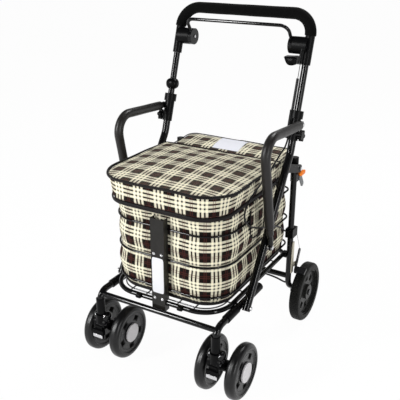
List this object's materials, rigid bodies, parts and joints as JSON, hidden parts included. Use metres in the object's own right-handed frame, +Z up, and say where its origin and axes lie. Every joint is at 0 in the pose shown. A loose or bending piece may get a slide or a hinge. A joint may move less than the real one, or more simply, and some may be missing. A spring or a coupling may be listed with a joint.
{
  "type": "walker with seat and bag",
  "caption": "Wheeled walker with a padded seat lid over a plaid shopping bag in a wire basket, a push handle with a brake bar, armrests and swivel front wheels.",
  "frame": {"origin": "on the floor at the middle of the footprint", "axes": "+Z up, front toward -Y, +X to the right seen from the front"},
  "size_m": [0.5242, 0.6635, 1.024],
  "materials": {
    "frame_black": "gloss black powder coat",
    "dark_plastic": "moulded dark plastic",
    "brake_black": "gloss black",
    "foam": "matte soft foam",
    "grid_wire": "bright plated wire",
    "upright": "satin charcoal",
    "plaid": "woven plaid cloth",
    "board": "covered board",
    "bright_steel": "bright zinc",
    "cable": "black cable sheath",
    "zinc": "yellowish zinc",
    "lever_grey": "grey plastic",
    "orange": "orange plastic",
    "brake_steel": "dark painted steel",
    "rear_tyre": "solid dark grey tread",
    "rear_rim": "grey moulded rim",
    "front_wheel": "black wheel with soft tread",
    "hub_cap": "light grey cap"
  },
  "bodies": {
    "frame": {"side_posts": "frame_black", "front_legs": "frame_black", "front_crossbar": "frame_black", "leg_sleeves": "dark_plastic", "clamp_sleeves": "dark_plastic", "armrest_tubes": "frame_black", "armrest_foam": "foam", "base_ring": "frame_black", "floor_grid": "grid_wire", "wire_basket": "frame_black", "front_upright": "upright", "upright_clamps": "dark_plastic", "bag_body": "plaid", "rear_flap": "plaid", "fold_brackets": "upright", "fold_pins": "bright_steel", "frame_bolts": "bright_steel", "leg_saddles": "dark_plastic", "brake_cable_loop": "cable"},
    "handle": {"handle_tube": "frame_black", "handle_foam": "foam", "brake_brackets": "dark_plastic", "cane_clip": "dark_plastic", "brake_cable_upper": "cable"},
    "brake_handle": {"brake_bar": "brake_black"},
    "parking_lever": {"parking_tab": "dark_plastic"},
    "left_knob": {"left_height_knob": "dark_plastic"},
    "right_knob": {"right_height_knob": "dark_plastic"},
    "lid": {"seat_cushion": "plaid", "seat_board": "board"},
    "rear_frame": {"rear_legs": "frame_black", "rear_cross_tube": "frame_black", "rear_leg_fittings": "dark_plastic", "latch_housing": "dark_plastic", "brake_mounts": "zinc", "brake_link_rod": "cable", "rear_axles": "bright_steel", "brake_wire": "bright_steel"},
    "latch": {"latch_lever": "lever_grey"},
    "release": {"release_tab": "orange"},
    "left_brake": {"left_brake_lever": "brake_steel"},
    "right_brake": {"right_brake_lever": "brake_steel"},
    "left_rear_wheel": {"left_rear_tyre": "rear_tyre", "left_rear_rim": "rear_rim"},
    "right_rear_wheel": {"right_rear_tyre": "rear_tyre", "right_rear_rim": "rear_rim"},
    "left_caster": {"left_caster_head": "dark_plastic", "left_caster_axle": "bright_steel"},
    "left_pedal": {"left_caster_pedal": "dark_plastic"},
    "left_outer_wheel": {"left_outer_front_wheel": "front_wheel", "left_outer_hub_cap": "hub_cap"},
    "left_inner_wheel": {"left_inner_front_wheel": "front_wheel", "left_inner_hub_cap": "hub_cap"},
    "right_caster": {"right_caster_head": "dark_plastic", "right_caster_axle": "bright_steel"},
    "right_pedal": {"right_caster_pedal": "dark_plastic"},
    "right_outer_wheel": {"right_outer_front_wheel": "front_wheel", "right_outer_hub_cap": "hub_cap"},
    "right_inner_wheel": {"right_inner_front_wheel": "front_wheel", "right_inner_hub_cap": "hub_cap"}
  },
  "joints": [
    {"name": "handle_height", "type": "slide", "parent": "frame", "child": "handle", "axis": [0, 0.3057, 0.9521], "range_m": [-0.01, 0.045]},
    {"name": "brake_squeeze", "type": "hinge", "parent": "handle", "child": "brake_handle", "pos_m": [0, 0.1855, 0.92131], "axis": [-1, 0, 0], "range_deg": [0, 16], "stiffness_Nm_per_rad": 6},
    {"name": "parking_set", "type": "hinge", "parent": "handle", "child": "parking_lever", "pos_m": [0.196, 0.17236, 0.88037], "axis": [0, -0.9521, 0.3057], "range_deg": [0, 20]},
    {"name": "left_knob_turn", "type": "hinge", "parent": "frame", "child": "left_knob", "pos_m": [-0.218, 0.10737, 0.67794], "axis": [1, 0, 0], "continuous": true},
    {"name": "right_knob_turn", "type": "hinge", "parent": "frame", "child": "right_knob", "pos_m": [0.218, 0.10737, 0.67794], "axis": [1, 0, 0], "continuous": true},
    {"name": "lid_open", "type": "hinge", "parent": "frame", "child": "lid", "pos_m": [0, 0.06749, 0.601], "axis": [-1, 0, 0], "range_deg": [0, 95]},
    {"name": "rear_fold", "type": "hinge", "parent": "frame", "child": "rear_frame", "pos_m": [0, 0.16399, 0.556], "axis": [-1, 0, 0], "range_deg": [0, 28], "deforming": ["brake_cable_loop"]},
    {"name": "latch_lift", "type": "hinge", "parent": "rear_frame", "child": "latch", "pos_m": [0.2167, 0.18799, 0.52], "axis": [1, 0, 0], "range_deg": [0, 40]},
    {"name": "release_press", "type": "slide", "parent": "rear_frame", "child": "release", "axis": [-1, 0, 0], "range_m": [0, 0.005], "stiffness_N_per_m": 400},
    {"name": "left_brake_swing", "type": "hinge", "parent": "rear_frame", "child": "left_brake", "pos_m": [-0.2204, 0.192, 0.216], "axis": [1, 0, 0], "range_deg": [0, 4]},
    {"name": "left_rear_roll", "type": "hinge", "parent": "rear_frame", "child": "left_rear_wheel", "pos_m": [-0.241, 0.2295, 0.1], "axis": [1, 0, 0], "continuous": true},
    {"name": "right_brake_swing", "type": "hinge", "parent": "rear_frame", "child": "right_brake", "pos_m": [0.2204, 0.192, 0.216], "axis": [1, 0, 0], "range_deg": [0, 4], "deforming": ["brake_wire"]},
    {"name": "right_rear_roll", "type": "hinge", "parent": "rear_frame", "child": "right_rear_wheel", "pos_m": [0.241, 0.2295, 0.1], "axis": [1, 0, 0], "continuous": true},
    {"name": "left_swivel", "type": "hinge", "parent": "frame", "child": "left_caster", "pos_m": [-0.196, -0.311, 0.18], "axis": [0, 0, 1], "continuous": true},
    {"name": "left_pedal_lock", "type": "hinge", "parent": "left_caster", "child": "left_pedal", "pos_m": [-0.196, -0.319, 0.1305], "axis": [-1, 0, 0], "range_deg": [0, 25]},
    {"name": "left_outer_roll", "type": "hinge", "parent": "left_caster", "child": "left_outer_wheel", "pos_m": [-0.2435, -0.247, 0.0825], "axis": [1, 0, 0], "continuous": true},
    {"name": "left_inner_roll", "type": "hinge", "parent": "left_caster", "child": "left_inner_wheel", "pos_m": [-0.1485, -0.247, 0.0825], "axis": [1, 0, 0], "continuous": true},
    {"name": "right_swivel", "type": "hinge", "parent": "frame", "child": "right_caster", "pos_m": [0.196, -0.311, 0.18], "axis": [0, 0, 1], "continuous": true},
    {"name": "right_pedal_lock", "type": "hinge", "parent": "right_caster", "child": "right_pedal", "pos_m": [0.196, -0.319, 0.1305], "axis": [-1, 0, 0], "range_deg": [0, 25]},
    {"name": "right_outer_roll", "type": "hinge", "parent": "right_caster", "child": "right_outer_wheel", "pos_m": [0.2435, -0.247, 0.0825], "axis": [1, 0, 0], "continuous": true},
    {"name": "right_inner_roll", "type": "hinge", "parent": "right_caster", "child": "right_inner_wheel", "pos_m": [0.1485, -0.247, 0.0825], "axis": [1, 0, 0], "continuous": true}
  ],
  "couplings": [
    {"joint": "left_brake_swing", "follows": "brake_squeeze", "ratio": 0.25},
    {"joint": "right_brake_swing", "follows": "brake_squeeze", "ratio": 0.25}
  ]
}
